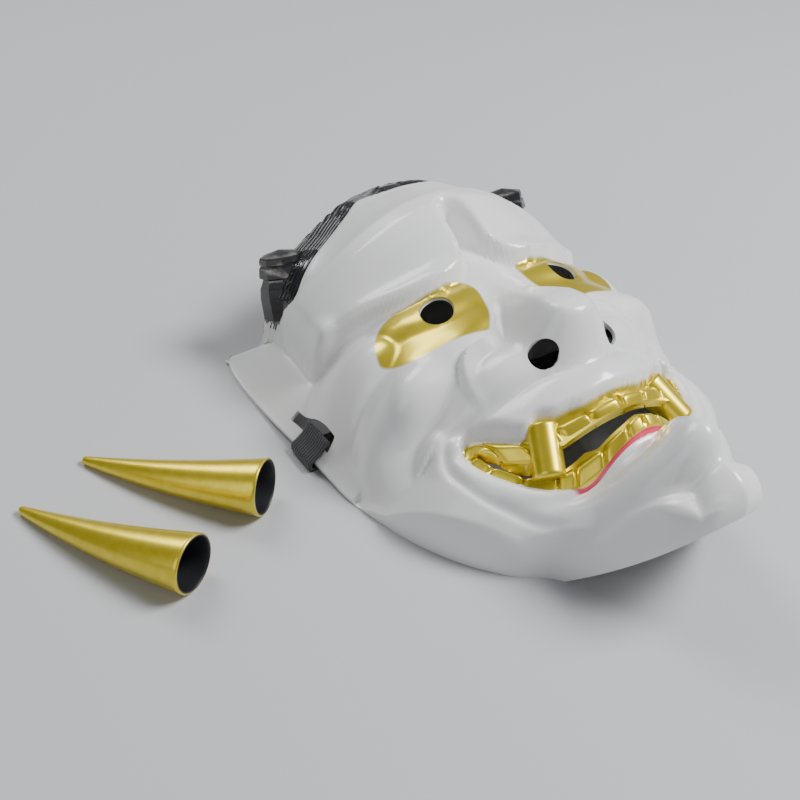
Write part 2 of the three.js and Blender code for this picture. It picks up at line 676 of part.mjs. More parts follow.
// A flat band along a line of [across, height] places, the same width all the way.
const bandAlong = (line) => {
  const half = strapThick / 2;
  const sides = line.map((point, i) => {
    const [before, after] = [line[Math.max(i - 1, 0)], line[Math.min(i + 1, line.length - 1)]];
    const directions = [[before, point], [point, after]].map(([from, to]) => {
      const [dx, dz] = [to[0] - from[0], to[1] - from[1]];
      const length = Math.hypot(dx, dz);
      return length > 0 ? [dx / length, dz / length] : null;
    }).filter(Boolean);
    const sum = [0, 1].map((k) => directions.reduce((total, direction) => total + direction[k], 0));
    const size = Math.hypot(...sum);
    const normal = [-sum[1] / size, sum[0] / size];
    const square = directions.length < 2 ? 1
      : Math.sqrt((1 + directions[0][0] * directions[1][0] + directions[0][1] * directions[1][1]) / 2);
    return [1, -1].map((way) => point.map((value, k) => value + way * normal[k] * half / square));
  });
  const outline = [...sides.map(([left]) => left), ...sides.map(([, right]) => right).reverse()];
  const band = new THREE.ExtrudeGeometry(
    new THREE.Shape(outline.map(([x, z]) => new THREE.Vector2(x, z))),
    { depth: strapWidth, bevelEnabled: false });
  band.rotateX(Math.PI / 2);
  band.translate(0, strapAt + strapWidth / 2, 0);
  return band;
};

const buildStrap = () => {
  const half = strapPath();
  const tail = half.slice().reverse();
  const other = half.map(([across, height]) => [-across, height]);
  return solidOf(bandAlong([...tail, ...other]));
};

const colours = { white: 0xe6e8e6, gold: 0xc9b334, black: 0x2a2d31 };

const named = (name, solid, colour, roughness, metalness) => {
  const mesh = new THREE.Mesh(
    shapeOf(solid), new THREE.MeshStandardMaterial({ color: colour, roughness, metalness }));
  mesh.name = name;
  return mesh;
};

const part = new THREE.Group();
part.add(named('mask_shell', buildShell(), colours.white, 0.25, 0));
part.add(named('elastic_strap', buildStrap(), colours.black, 0.9, 0));
hornTips.forEach((tip, i) => part.add(named(
  ['horn_left', 'horn_right'][i], buildHorn(tip, hornMouths[i]), colours.gold, 0.3, 0.6)));

// The origin is the middle of the whole layout, on the floor it lies on.
const box = new THREE.Box3().setFromObject(part);
const middle = box.getCenter(new THREE.Vector3());
part.children.forEach((mesh) => mesh.geometry.translate(-middle.x, -middle.y, -box.min.z));
export default part;
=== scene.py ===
import bpy
import math
import numpy as np
from mathutils import Matrix, Vector


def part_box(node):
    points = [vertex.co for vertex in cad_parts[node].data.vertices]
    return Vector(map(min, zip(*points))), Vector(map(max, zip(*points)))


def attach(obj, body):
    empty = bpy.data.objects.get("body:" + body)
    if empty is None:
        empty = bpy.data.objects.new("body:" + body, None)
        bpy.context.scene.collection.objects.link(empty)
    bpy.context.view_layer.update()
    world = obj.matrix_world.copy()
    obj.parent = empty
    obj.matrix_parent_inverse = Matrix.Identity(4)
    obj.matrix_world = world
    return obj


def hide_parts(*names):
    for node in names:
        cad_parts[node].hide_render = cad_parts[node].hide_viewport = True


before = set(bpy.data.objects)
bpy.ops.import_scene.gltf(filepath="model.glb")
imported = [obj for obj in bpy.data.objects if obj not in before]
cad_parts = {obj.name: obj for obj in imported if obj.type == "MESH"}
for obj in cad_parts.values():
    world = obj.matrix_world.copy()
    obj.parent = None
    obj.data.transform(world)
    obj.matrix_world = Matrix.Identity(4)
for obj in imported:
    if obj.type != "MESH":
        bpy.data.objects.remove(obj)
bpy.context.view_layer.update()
print("frame loaded")

# Shapes are worked out in millimetres on the mask's own place: X across, Y up the face,
# Z out of it, with the pupils on Y = 0. This is where that place lies in the frame.
shellLow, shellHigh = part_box("mask_shell")
chinY = -134
maskMiddle = np.array([
    500 * (shellLow[0] + shellHigh[0]), 1000 * shellLow[1] - chinY, 0.0])


def toFrame(points):
    return (np.asarray(points, float).reshape(-1, 3) + maskMiddle) * 0.001


# camera, first because everything is judged from it
camera = {
    "place": (-258.2, -278.5, 304.2),
    "right": (0.828, -0.555, 0.078),
    "back": (-0.470, -0.614, 0.634),
    "lens": 50.85,
}


def addCamera():
    data = bpy.data.cameras.new("photoCamera")
    data.lens = camera["lens"]
    data.sensor_width = 36
    data.clip_start = 0.01
    back = Vector(camera["back"]).normalized()
    right = Vector(camera["right"])
    right = (right - back * right.dot(back)).normalized()
    up = back.cross(right)
    holder = bpy.data.objects.new("photoCamera", data)
    turn = Matrix((right, up, back)).transposed().to_4x4()
    holder.matrix_world = Matrix.Translation(Vector(toFrame(camera["place"])[0])) @ turn
    bpy.context.scene.collection.objects.link(holder)
    bpy.context.scene.camera = holder


addCamera()


# small maths
def clamp01(value):
    return np.clip(value, 0, 1)


def easeBetween(start, end, value):
    share = clamp01((value - start) / (end - start))
    return share * share * (3 - 2 * share)


def softMax(one, two, blend):
    share = clamp01(0.5 + 0.5 * (one - two) / blend)
    return two + (one - two) * share + blend * share * (1 - share)


def softMin(one, two, blend):
    return -softMax(-one, -two, blend)


def smoothLine(points, perSpan=6, closed=False):
    points = np.asarray(points, float)
    count = len(points)
    spans = count if closed else count - 1
    line = []
    for i in range(spans):
        if closed:
            before, start, end, after = (points[(i + k) % count] for k in (-1, 0, 1, 2))
        else:
            before, start = points[max(i - 1, 0)], points[i]
            end, after = points[i + 1], points[min(i + 2, count - 1)]
        for t in np.arange(perSpan) / perSpan:
            line.append(0.5 * (2 * start + (end - before) * t
                        + (2 * before - 5 * start + 4 * end - after) * t ** 2
                        + (3 * start - before - 3 * end + after) * t ** 3))
    line.append(points[0] if closed else points[-1])
    return np.array(line)


def nearest(x, y, line):
    best = np.full(np.shape(x), 1e9)
    side = np.ones_like(best)
    share = np.zeros_like(best)
    height = np.zeros_like(best)
    nearX = np.zeros_like(best)
    nearY = np.zeros_like(best)
    tall = line.shape[1] > 2
    run = 0.0
    for one, two in zip(line[:-1], line[1:]):
        dx, dy = two[0] - one[0], two[1] - one[1]
        length = math.hypot(dx, dy)
        if length < 1e-9:
            continue
        t = clamp01(((x - one[0]) * dx + (y - one[1]) * dy) / length ** 2)
        px, py = one[0] + t * dx, one[1] + t * dy
        distance = np.hypot(x - px, y - py)
        closer = distance < best - 1e-6
        best = np.where(closer, distance, best)
        side = np.where(closer, np.where(dx * (y - one[1]) - dy * (x - one[0]) < 0, -1.0, 1.0), side)
        share = np.where(closer, run + t * length, share)
        nearX = np.where(closer, px, nearX)
        nearY = np.where(closer, py, nearY)
        if tall:
            height = np.where(closer, one[2] + t * (two[2] - one[2]), height)
        run += length
    return {"distance": best, "side": side, "share": share / run, "height": height,
            "x": nearX, "y": nearY}


def crest(x, y, line, leftReach, rightReach):
    found = nearest(x, y, line)
    reach = np.where(found["side"] > 0, leftReach, rightReach)
    return found["height"] - 0.5 * found["distance"] ** 2 / reach


def oval(x, y, at, radii, foot, height):
    reach = np.hypot((x - at[0]) / radii[0], (y - at[1]) / radii[1])
    knee = 0.9
    kneeHeight = math.sqrt(1 - knee * knee)
    inside = foot + height * np.sqrt(np.maximum(1 - np.minimum(reach, knee) ** 2, 0))
    return inside - height * np.maximum(reach - knee, 0) * knee / kneeHeight


def mound(x, y, at, radii, turn=0):
    c, s = math.cos(math.radians(turn)), math.sin(math.radians(turn))
    u = ((x - at[0]) * c + (y - at[1]) * s) / radii[0]
    v = (-(x - at[0]) * s + (y - at[1]) * c) / radii[1]
    return np.exp(-(u * u + v * v))


def insideOutline(x, y, outline):
    inside = np.zeros(np.shape(x), bool)
    for one, two in zip(outline, np.roll(outline, -1, axis=0)):
        crosses = (one[1] > y) != (two[1] > y)
        rise = two[1] - one[1] if abs(two[1] - one[1]) > 1e-12 else 1e-12
        at = one[0] + (y - one[1]) * (two[0] - one[0]) / rise
        inside ^= crosses & (x < at)
    return inside


def signedDepth(x, y, outline):
    closed = np.vstack([outline, outline[:1]])
    depth = nearest(x, y, closed)["distance"]
    return np.where(insideOutline(x, y, outline), depth, -depth)


# the face
face = {
    "middleY": -10,
    "chinRim": -98,
    "height": 58,
    "sheet": 1.5,
    "acrossSteps": 196,
    "upSteps": 236,
    "hairStep": 1.4,
    "hairPull": 0.42,
    "earHeight": 19,
    "earLift": 2.6,
    "foreheadRound": 0.0085,
    "bossHeight": 9,
}
rimOutline = smoothLine([
    (0, 91), (20, 90.5), (34, 88.5), (48, 85), (58, 82), (66, 77.5), (71, 71), (76, 73),
    (82.5, 75), (86, 68), (87.5, 55), (87.5, 37), (87, 12), (85, -12), (83.5, -26),
    (79, -42), (74, -56), (65, -72), (53, -86), (40, -95), (31, -107), (25, -117),
    (20, -125), (11.5, -131.5), (0, chinY)])
coreOutline = smoothLine([
    (0, 91), (20, 90.5), (34, 88.5), (48, 85), (58, 82), (65, 77), (68.5, 70), (69, 60),
    (69, 45), (70, 30), (71.5, 15), (73.5, 0), (77, -14), (80, -27), (79, -42), (74, -56),
    (65, -72), (53, -86), (40, -95), (31, -107), (25, -117), (20, -125), (11.5, -131.5),
    (0, chinY)])
foreheadProfile = np.array([
    (4, 64), (20, 68.5), (32, 74), (42, 76.5), (50, 75.5), (58, 72), (70, 67.5), (82, 64),
    (91, 60.5)])
browLine = smoothLine([
    (-1, 38), (2.4, 28), (5.5, 19), (10.5, 12), (22, 8.6), (34, 11), (45, 16), (54, 21),
    (61, 24), (70, 26)])
hairLine = smoothLine([
    (-5, 73.5), (5, 73.5), (12, 75), (19, 77.5), (23, 76), (28, 72.5), (38, 67.5), (45, 64.5),
    (51, 60.8), (58, 56.5), (64.2, 53), (68.7, 58), (77, 66)])
cheekFold = smoothLine([
    (18, -22.5), (26, -22.5), (32, -22), (37.8, -24.8), (40.8, -30.2), (42.3, -36.6),
    (41.6, -44), (40, -47)])
noseBase = smoothLine([(-8, -54.6), (0, -54.8), (10, -53.2), (17.4, -50.2), (27.3, -48.2), (38, -46)])
lipCrease = smoothLine([
    (39.8, -46.5), (46, -44.5), (53.5, -41.8), (57.5, -46.9), (58.9, -52.5), (58.1, -60),
    (54.8, -69.6), (48.6, -78.6), (41.7, -87.2), (34.8, -93.4), (28, -98)])
gumLine = smoothLine([
    (-5, -66.7), (5, -66.7), (13, -66.3), (18, -64.8), (23.5, -63.5), (29, -60), (34, -61),
    (38, -56.7), (41, -51.8), (45, -46.8), (48, -45.2), (51, -47), (51.7, -51.5),
    (51.2, -56.2), (48.6, -62.5), (45.1, -68), (39.7, -75.1), (32.8, -80.6), (27, -85.7),
    (22.8, -87.5), (16.9, -87.2), (7, -86.5), (-5, -86)])
browCrest = smoothLine([
    (11, 13, 65.5), (24, 12, 64.5), (35, 15, 60.5), (45, 20, 55), (54, 24, 49), (60, 27, 42)])
lowerLip = smoothLine([
    (-6, -107.5, 66), (0, -108, 68), (6, -106.5, 64.5), (12, -103, 56), (18, -98, 46),
    (24, -93, 35), (31, -88, 28.5), (40, -80, 26), (48, -71, 24.5), (53.6, -60.5, 25),
    (55.4, -51, 28), (53, -45, 32), (49, -41.5, 35)])
upperLip = smoothLine([
    (-6, -60, 57.5), (0, -60, 57.5), (8, -59, 55.5), (16, -57.5, 51), (26, -54.5, 46.5),
    (33, -52.5, 43), (40, -45, 40), (47, -39.5, 37), (53, -40, 33)])
noseProfile = np.array([(-38, 75), (-30, 73), (-18, 67), (-8, 61.5), (2, 57.5), (14, 59)])
noseTip = {"at": -38, "flat": 6, "round": 5, "slope": 1.65, "shorten": 1.22}
chinCrest = smoothLine([(-6, -122, 59), (0, -122, 60), (7, -122, 56), (12, -121, 50)])
eyeCrest = smoothLine([(15, 2.5, 57.5), (29, 2, 56.5), (42, 4, 50.5), (50, 3, 44.5)])
mouthMiddle = np.array([
    (0, -77.5), (8, -77.5), (16, -77), (25, -75), (35, -69), (44, -59), (52, -49)])
eyeOutline = smoothLine([
    (13.6, 8.6), (20, 8.9), (26.5, 8.9), (37.4, 11.1), (43.4, 13.2), (50.5, 11.1), (56.2, 3.8),
    (58.8, -3.2), (56.8, -6.4), (52.2, -11.8), (42.3, -14.7), (33.1, -16.3), (22.1, -18.5),
    (19.7, -17.7), (15.6, -11.9), (12.8, -4.3), (12, 2.2)], closed=True)


def polarTable(line):
    angle = np.arctan2(line[:, 1] - face["middleY"], line[:, 0])
    reach = np.hypot(line[:, 0], line[:, 1] - face["middleY"])
    order = np.argsort(angle)
    return angle[order], reach[order]


rimTable = polarTable(rimOutline)
coreTable = polarTable(coreOutline)


def rimHeight(across, y):
    past = np.maximum(0, face["chinRim"] - y)
    lift = face["earLift"] * easeBetween(66, 80, across) * np.exp(-((y - 6) / 24) ** 2)
    return 0.9 * past + 0.011 * past ** 2 + lift


def earHeight(across, y, outer, rim):
    slope = (1 - outer) * 80 + 1 + rim * easeBetween(-90, -80, y)
    present = easeBetween(-34, -26, y)
    return softMin(slope, face["earHeight"], 8) * present - 30 * (1 - present)


def foreheadHeight(across, y, share, degrees):
    height = np.interp(y, foreheadProfile[:, 0], foreheadProfile[:, 1])
    height = height - face["foreheadRound"] * across ** 2
    height = height + face["bossHeight"] * mound(across, y, (60, 67), (10, 11))
    height = softMax(height, crest(across, y, browCrest, 16, 16), 4)
    power = 2.6 + 60 * easeBetween(12, 50, degrees)
    fall = np.sqrt(np.maximum(0, 1 - share ** power))
    return softMin(height, height * fall, 3)


def noseHeight(across, y):
    crestHeight = np.interp(y, noseProfile[:, 0], noseProfile[:, 1])
    blunt = easeBetween(4, -32, y)
    past = noseTip["shorten"] * np.maximum(0, noseTip["at"] - y)
    beside = np.maximum(0, np.hypot(across, past) - 1.5 - (noseTip["flat"] - 1.5) * blunt)
    slope = 1 + (noseTip["slope"] - 1) * blunt
    ridge = crestHeight + noseTip["round"] - np.hypot(noseTip["round"], slope * beside)
    wings = oval(across, y, (0, -36), (44, 21), 38, 23.5) - 2 * mound(across, y, (22, -20), (6.5, 14))
    return softMax(ridge, wings, 4)


def teethHeight(across, y):
    upper = 50 - 9 * (across / 27) ** 1.5
    lower = 28 + 22 * (1 - easeBetween(0, 36, across))
    middle = np.interp(across, mouthMiddle[:, 0], mouthMiddle[:, 1])
    return lower + (upper - lower) * easeBetween(-1, 1, y - middle)


def faceHeight(x, y):
    x, y = np.asarray(x, float), np.asarray(y, float)
    across = np.abs(x)
    angle = np.arctan2(y - face["middleY"], across)
    degrees = np.degrees(angle)
    fromMiddle = np.hypot(across, y - face["middleY"])
    outer = np.minimum(fromMiddle / np.interp(angle, *rimTable), 1)
    share = np.minimum(1, fromMiddle / np.interp(angle, *coreTable))
    rim = rimHeight(across, y)

    # the domed sheet, fuller under the eye, hollow at the temple and beside the mouth
    lower = easeBetween(-8, -25, degrees)
    flank = 0.5 + 0.35 * easeBetween(0, -24, degrees) * easeBetween(-86, -62, degrees)
    z = rim + (face["height"] - 0.62 * rim) * np.maximum(0, 1 - share ** (2.6 - 0.4 * lower)) ** flank
    z = z - 3 * mound(across, y, (54, 10), (12, 9), -30)
    z = softMax(z, oval(across, y, (51, -21), (17, 13), 26, 21.5), 7)
    z = z - 5 * mound(across, y, (56, -42), (9, 12), 20)
    z = z - 3 * mound(across, y, (64, -52), (8, 14), 20)

    # the eyeball
    eye = nearest(across, y, eyeCrest)
    z = softMax(z, eye["height"] + 1.5 - 0.036 * eye["distance"] ** 2, 1.5)

    # the fold beside the nose, and the nose
    fold = nearest(across, y, cheekFold)
    folded = easeBetween(0, 0.2, fold["share"]) * easeBetween(1, 0.85, fold["share"])
    inward = -fold["distance"] * fold["side"]
    bulge = 4.2 * np.exp(-(fold["distance"] / 10) ** 2) * easeBetween(-0.7, 0.9, inward)
    rimBeside = 1.2 * easeBetween(0.5, -2.5, inward) * np.exp(-(fold["distance"] / 6) ** 2)
    z = z + (bulge + rimBeside) * folded
    z = softMax(z, noseHeight(across, y), 1.5 + 4 * easeBetween(-26, -8, y))

    # the upper lip's slope, both lips, the crease round them and the chin
    z = softMax(z, 58.5 - 13.5 * (across / 36) ** 1.7 - 0.02 * (y + 54) ** 2, 1.2)
    under = nearest(across, y, noseBase)
    z = z - 1.1 * np.exp(-(under["distance"] / 1.5) ** 2) * easeBetween(1, 0.7, under["share"])
    z = softMax(z, crest(across, y, upperLip, 6, 4), 2)
    z = softMax(z, crest(across, y, lowerLip, 11, 5), 2)
    crease = nearest(across, y, lipCrease)
    z = z - (1.7 * np.exp(-(crease["distance"] / 1.7) ** 2)
             * easeBetween(0, 0.08, crease["share"]) * easeBetween(1, 0.75, crease["share"]))
    z = softMax(z, crest(across, y, chinCrest, 12, 12), 5)

    # the gums, with the lower lip kept low beside the corner teeth
    gum = nearest(across, y, gumLine)
    fromGum = gum["distance"]
    middle = np.interp(across, mouthMiddle[:, 0], mouthMiddle[:, 1])
    lipTop = (teethHeight(across, np.full_like(y, -200)) + 1.6
              - 0.1 * (np.minimum(fromGum, 7) - 3.5) ** 2 + 1.1 * np.maximum(0, fromGum - 7))
    lowLip = easeBetween(20, 31, across) * easeBetween(1, -1, y - middle)
    z = z + (softMin(z, lipTop, 2) - z) * lowLip
    z = z + (teethHeight(across, y) - z) * easeBetween(-1.5, 1.5, -fromGum * gum["side"])

    # the forehead that overhangs the brow line, and the hair band a step lower
    brow = nearest(across, y, browLine)
    forehead = softMax(foreheadHeight(across, y, share, degrees), z, 3)
    fade = 1 + 1.6 * easeBetween(0.2, 0, brow["share"])
    z = z + (forehead - z) * easeBetween(-1.3 * fade, 3.3 * fade, brow["distance"] * brow["side"])
    hair = nearest(across, y, hairLine)
    z = z - face["hairStep"] * easeBetween(-0.8, 0.8, hair["distance"] * hair["side"])

    # the ears, and the outer wall that comes down to the rim
    z = softMax(z, earHeight(across, y, outer, rim), 3)
    upright = easeBetween(-30, 15, degrees)
    wallTop = (rim + (44 + 56 * upright) * np.sqrt(np.maximum(0, 1 - outer ** (4 + 14 * upright)))
               + 130 * (1 - upright) * np.maximum(0, 1 - outer))
    return np.maximum(softMin(z, wallTop, 4), rim)


# shader maths
class Wire:  # a node's output, used in plain sums
    def __init__(self, maker, socket):
        self.maker, self.socket = maker, socket

    def sum(self, how, *values):
        return self.maker.make("ShaderNodeMath", {"operation": how}, list(values))

    def __add__(self, other):
        return self.sum("ADD", self, other)

    def __radd__(self, other):
        return self.sum("ADD", other, self)

    def __sub__(self, other):
        return self.sum("SUBTRACT", self, other)

    def __rsub__(self, other):
        return self.sum("SUBTRACT", other, self)

    def __mul__(self, other):
        return self.sum("MULTIPLY", self, other)

    def __rmul__(self, other):
        return self.sum("MULTIPLY", other, self)

    def __truediv__(self, other):
        return self.sum("DIVIDE", self, other)


class Maker:  # builds one material's nodes
    def __init__(self, name):
        self.material = bpy.data.materials.new(name)
        self.material.use_nodes = True
        self.tree = self.material.node_tree
        self.tree.nodes.clear()
        self.shader = self.tree.nodes.new("ShaderNodeBsdfPrincipled")
        output = self.tree.nodes.new("ShaderNodeOutputMaterial")
        self.tree.links.new(self.shader.outputs[0], output.inputs[0])

    def make(self, kind, settings=None, inputs=None, out=0):
        node = self.tree.nodes.new(kind)
        for key, value in (settings or {}).items():
            setattr(node, key, value)
        pairs = inputs.items() if isinstance(inputs, dict) else enumerate(inputs or [])
        for key, value in pairs:
            self.plug(value, node.inputs[key])
        return Wire(self, node.outputs[out])

    def plug(self, value, socket):
        if isinstance(value, Wire):
            self.tree.links.new(value.socket, socket)
        else:
            socket.default_value = value

    def finish(self, **sockets):
        for key, value in sockets.items():
            self.plug(value, self.shader.inputs[key.replace("_", " ")])
        return self.material

    def painted(self, name):
        return self.make("ShaderNodeAttribute", {"attribute_name": name}, out="Fac")

    def ease(self, value, start, end):
        return self.make("ShaderNodeMapRange", {"interpolation_type": "SMOOTHSTEP"},
                         {"Value": value, "From Min": start, "From Max": end})

    def mix(self, factor, one, two):
        return self.make("ShaderNodeMix", {"data_type": "RGBA"}, {0: factor, 6: one, 7: two}, out=2)

    def noise(self, scale, detail=2.0):
        place = self.make("ShaderNodeTexCoord", out="Object")
        return self.make("ShaderNodeTexNoise", None, {"Vector": place, "Scale": scale, "Detail": detail})

    def bump(self, height, strength, distance, normal=None):
        inputs = {"Height": height, "Strength": strength, "Distance": distance}
        if normal:
            inputs["Normal"] = normal
        return self.make("ShaderNodeBump", None, inputs)


class Grower(Maker):  # builds a tree that grows a mesh from a line or from points
    def __init__(self, name, sizes):
        self.tree = bpy.data.node_groups.new(name, "GeometryNodeTree")
        face = self.tree.interface
        face.new_socket("Geometry", in_out="INPUT", socket_type="NodeSocketGeometry")
        self.keys = {size: face.new_socket(size, in_out="INPUT", socket_type="NodeSocketFloat").identifier
                     for size in sizes}
        face.new_socket("Geometry", in_out="OUTPUT", socket_type="NodeSocketGeometry")
        given = self.tree.nodes.new("NodeGroupInput")
        self.given = {socket.name: Wire(self, socket) for socket in given.outputs if socket.name}

    def close(self, grown, material):
        real = self.make("GeometryNodeRealizeInstances", None, {"Geometry": grown})
        painted = self.make("GeometryNodeSetMaterial", None, {"Geometry": real, "Material": material})
        output = self.tree.nodes.new("NodeGroupOutput")
        self.tree.links.new(painted.socket, output.inputs[0])
        return self  # the finished tree and the keys of its sizes


colour = {
    "white": (0.83, 0.83, 0.82, 1),
    "whiteCool": (0.79, 0.80, 0.80, 1),
    "gold": (0.80, 0.64, 0.05, 1),
    "goldDeep": (0.72, 0.56, 0.03, 1),
    "black": (0.011, 0.012, 0.015, 1),
    "red": (0.72, 0.045, 0.10, 1),
    "elastic": (0.016, 0.017, 0.019, 1),
    "elasticLitCrest": (0.05, 0.053, 0.058, 1),
    "glintSilver": (0.30, 0.29, 0.26, 1),
    "paintedHairSheen": (0.05, 0.052, 0.06, 1),
    "floor": (0.5, 0.51, 0.53, 1),
}


def shellPaint():
    m = Maker("shellPaint")
    outside = m.painted("outside")
    eye = m.ease(m.painted("eyeDepth"), -0.9, 0.5)
    gum = m.ease(m.painted("gumDepth"), -0.5, 0.5)
    hair = m.ease(m.painted("hairDepth"), -0.15, 0.15)
    fromEdge = m.make("ShaderNodeMath", {"operation": "ABSOLUTE"}, [m.painted("gumDepth") + 0.55])
    red = m.ease(fromEdge, 0.95, 0.5) * m.painted("redRun")
    gold = m.make("ShaderNodeMath", {"operation": "MAXIMUM"}, [eye, gum]) * outside
    hair = hair * outside
    cloud = m.noise(26, 3)
    white = m.mix(m.ease(cloud, 0.35, 0.7), colour["white"], colour["whiteCool"])
    goldTone = m.mix(m.ease(m.noise(90, 4), 0.4, 0.75), colour["gold"], colour["goldDeep"])
    base = m.mix(gold, white, goldTone)
    base = m.mix(red * outside, base, colour["red"])
    base = m.mix(hair, base, colour["black"])
    speck = m.noise(1400, 2)
    wave = m.noise(60, 2)
    rough = 0.22 + cloud * 0.06 + gold * 0.05 - hair * 0.05 + (1 - outside) * 0.15
    normal = m.bump(speck, 0.05, 0.0002, m.bump(wave, 0.12, 0.0006))
    return m.finish(Base_Color=base, Roughness=rough, Metallic=gold * 0.72, Normal=normal,
                    Coat_Weight=0.4, Coat_Roughness=0.09)


def goldPaint():
    m = Maker("goldPaint")
    inside = m.ease(m.painted("inside"), 0.35, 0.65)
    grain = m.noise(240, 3)
    tone = m.mix(m.ease(grain, 0.35, 0.75), colour["gold"], colour["goldDeep"])
    base = m.mix(inside, tone, colour["black"])
    flecks = m.noise(2600, 1)
    normal = m.bump(flecks, 0.08, 0.0001)
    return m.finish(Base_Color=base, Roughness=0.28 + grain * 0.08 + inside * 0.15,
                    Metallic=0.78 - inside * 0.78, Normal=normal, Coat_Weight=0.2)


def hairPaint():
    m = Maker("hairPaint")
    streak = m.noise(300, 3)
    # the lighter streaks are painted sheen, a highlight painted along the glossy black hair
    base = m.mix(m.ease(streak, 0.55, 0.8), colour["black"], colour["paintedHairSheen"])
    return m.finish(Base_Color=base, Roughness=0.16 + streak * 0.14, Coat_Weight=0.3)


def stubPaint():
    m = Maker("stubPaint")
    # the silver patches are painted glints: reflections painted onto the glossy black stub, blotched by
    # noise and made metallic too
    paintedGlint = m.ease(m.painted("paintedGlint") + m.noise(220, 4) * 0.7, 0.75, 1.15)
    base = m.mix(paintedGlint, colour["black"], colour["glintSilver"])
    scratch = m.noise(700, 4)
    return m.finish(Base_Color=base, Roughness=0.2 + scratch * 0.25, Metallic=paintedGlint * 0.7,
                    Normal=m.bump(scratch, 0.25, 0.0003))


def elasticWeave():
    m = Maker("elasticWeave")
    place = m.make("ShaderNodeUVMap", {"uv_map": "UVMap"})
    parts = m.tree.nodes.new("ShaderNodeSeparateXYZ")
    m.plug(place, parts.inputs[0])
    along, across = Wire(m, parts.outputs[0]), Wire(m, parts.outputs[1])
    turn = 2 * math.pi
    ribPitch, pickPitch = 1.25, 0.9

    def ripple(value):
        return m.make("ShaderNodeMath", {"operation": "SINE"}, [value * turn]) * 0.5 + 0.5

    rib = across / ribPitch
    ribs = ripple(rib)
    picks = ripple(along / pickPitch + m.make("ShaderNodeMath", {"operation": "ROUND"}, [rib]) * 0.5)
    # the colour follows the weave: raised ribs and picks are painted lighter and the grooves between them
    # darker, painted highlight and painted shade on the weave
    weave = ribs * 0.6 + picks * 0.4
    base = m.mix(weave, colour["elastic"], colour["elasticLitCrest"])
    return m.finish(Base_Color=base, Roughness=0.85 - weave * 0.15,
                    Normal=m.bump(weave, 0.8, 0.0004), Sheen_Weight=0.25)


def floorFinish():
    m = Maker("paleFloor")
    return m.finish(Base_Color=colour["floor"], Roughness=0.65)


paint = {
    "shell": shellPaint(), "gold": goldPaint(), "hair": hairPaint(), "stub": stubPaint(),
    "elastic": elasticWeave(), "floor": floorFinish(),
}
print("finishes made")


# mesh help
def addPiece(name, points, faces, material, attributes=None, sharp=None, uv=None):
    mesh = bpy.data.meshes.new(name)
    mesh.from_pydata(toFrame(points).tolist(), [], [list(map(int, f)) for f in faces])
    mesh.validate()
    for key, values in (attributes or {}).items():
        layer = mesh.attributes.new(key, "FLOAT", "POINT")
        layer.data.foreach_set("value", np.asarray(values, np.float32))
    if uv is not None:
        layer = mesh.uv_layers.new(name="UVMap")
        corners = np.zeros(len(mesh.loops), np.int32)
        mesh.loops.foreach_get("vertex_index", corners)
        layer.data.foreach_set("uv", np.asarray(uv, np.float32)[corners].ravel())
    mesh.polygons.foreach_set("use_smooth", np.ones(len(mesh.polygons), bool))
    if sharp is not None:
        mesh.set_sharp_from_angle(angle=math.radians(sharp))
    mesh.materials.append(material)
    piece = bpy.data.objects.new(name, mesh)
    bpy.context.scene.collection.objects.link(piece)
    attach(piece, "root")
    return piece


def boreOutline(middle, axis, radius, lowT, highT, steps=48):
    axis = np.array(axis) / np.linalg.norm(axis)
    one = np.cross(axis, (0, 0, 1))
    one /= np.linalg.norm(one)
    two = np.cross(axis, one)
    turn = np.arange(steps)[:, None] * 2 * math.pi / steps
    start = np.array(middle) + radius * (np.cos(turn) * one + np.sin(turn) * two)
    low, high = np.full((steps, 1), float(lowT)), np.full((steps, 1), float(highT))
    for _ in range(22):
        t = 0.5 * (low + high)
        p = start + t * axis
        below = (p[:, 2] < faceHeight(p[:, 0], p[:, 1]))[:, None]
        low, high = np.where(below, t, low), np.where(below, high, t)
    return (start + 0.5 * (low + high) * axis)[:, :2]


def growPiece(name, points, edges, plan, sizes):
    seed = bpy.data.meshes.new(name + "Seed")
    seed.from_pydata(toFrame(points).tolist(), edges, [])
    holder = bpy.data.objects.new(name + "Seed", seed)
    bpy.context.scene.collection.objects.link(holder)
    grow = holder.modifiers.new("grow", "NODES")
    grow.node_group = plan.tree
    for key, value in sizes.items():
        grow[plan.keys[key]] = value
    bpy.context.view_layer.update()
    grown = holder.evaluated_get(bpy.context.evaluated_depsgraph_get())
    mesh = bpy.data.meshes.new_from_object(grown)
    mesh.name = name
    bpy.data.objects.remove(holder)
    piece = bpy.data.objects.new(name, mesh)
    bpy.context.scene.collection.objects.link(piece)
    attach(piece, "root")


# shell: one sheet, cut for the pupils, nostrils, mouth and the elastic
openings = {
    "pupil": (32, 0), "pupilAxis": (0.373, -0.19, 0.907), "pupilRadius": 6.9,
    "nostril": (15, -43.5, 58), "nostrilAxis": (0.34, -0.62, 0.7), "nostrilRadius": 5.7,
    "slotAt": (80.9, 8), "slotSize": (3.4, 26), "slotTurn": 3.6,
    "hairFoot": 18,
}
upperEdge = [
    (0, -75), (4.5, -74.5), (10.5, -74), (17, -73.5), (26, -73), (33, -71.5), (39, -67.3),
    (42.2, -62.2), (44.5, -56.7), (47.2, -51.5)]
lowerEdge = [
    (47.6, -53), (46.2, -57), (44.4, -61), (42, -65.2), (38.3, -69.6), (33.5, -74), (25, -76.6),
    (18.7, -77.4), (16.1, -80.2), (12.2, -80.1), (6.2, -80.3), (0, -79.5)]


